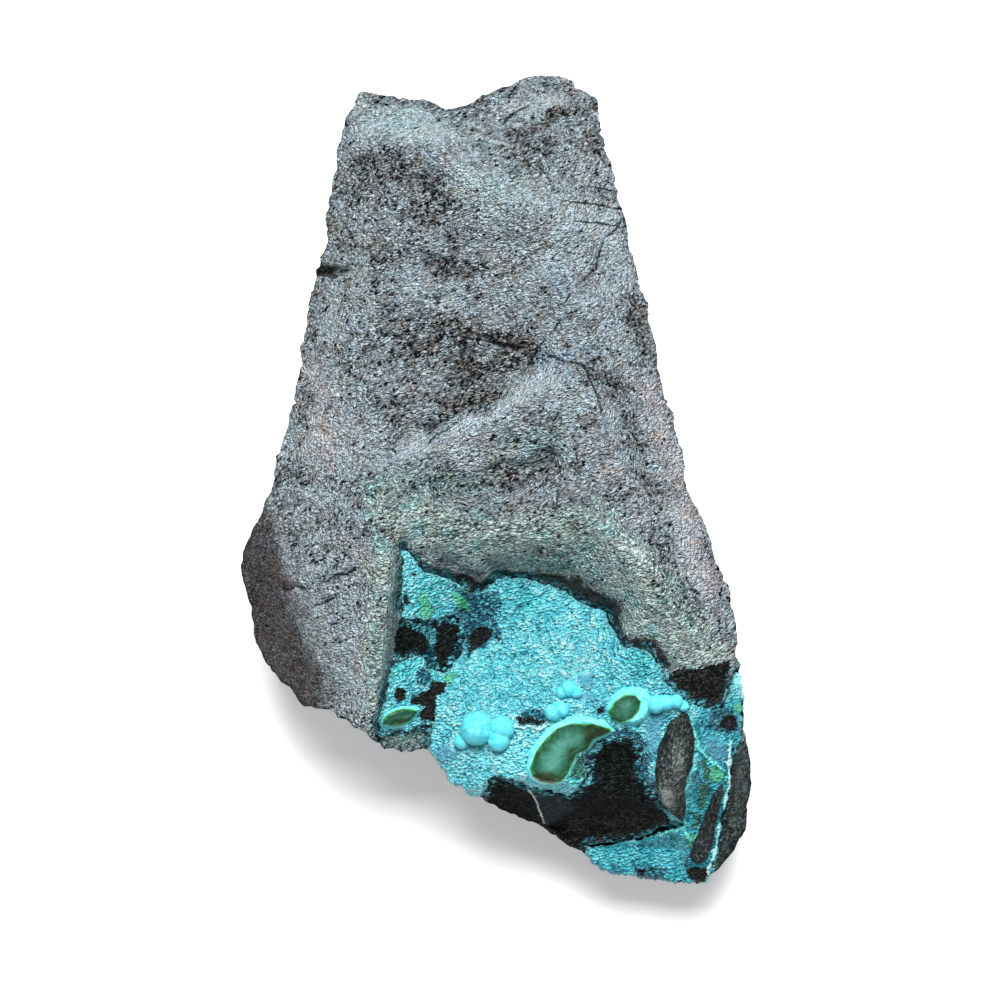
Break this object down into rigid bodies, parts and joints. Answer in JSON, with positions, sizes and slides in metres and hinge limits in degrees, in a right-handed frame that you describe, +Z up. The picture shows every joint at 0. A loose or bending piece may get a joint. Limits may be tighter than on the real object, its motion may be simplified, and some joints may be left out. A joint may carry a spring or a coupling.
{
  "type": "chrysocolla and malachite specimen",
  "caption": "Tapering slab of grey rock, broken across a hollow lined with a blue mineral druse and set with green nodules and rock slivers.",
  "frame": {"origin": "on the surface that the stone rests on, below the middle of its outline", "axes": "+X across the stone, +Y along it to its narrow end, +Z up out of the mineral face"},
  "size_m": [0.0573, 0.0911, 0.0259],
  "materials": {
    "grey_rock": "matt, finely pitted",
    "dark_rock": "fresh rough break",
    "chrysocolla": "sugary druse, with smooth waxy balls",
    "malachite": "silky broken face with a pale blue rind"
  },
  "bodies": {
    "root": {"host_rock": "grey_rock", "chrysocolla_druse": "chrysocolla", "malachite_kidney": "malachite", "malachite_round": "malachite", "malachite_lens": "malachite", "rock_sliver_lens": "dark_rock", "rock_sliver_dark": "dark_rock"}
  },
  "joints": []
}
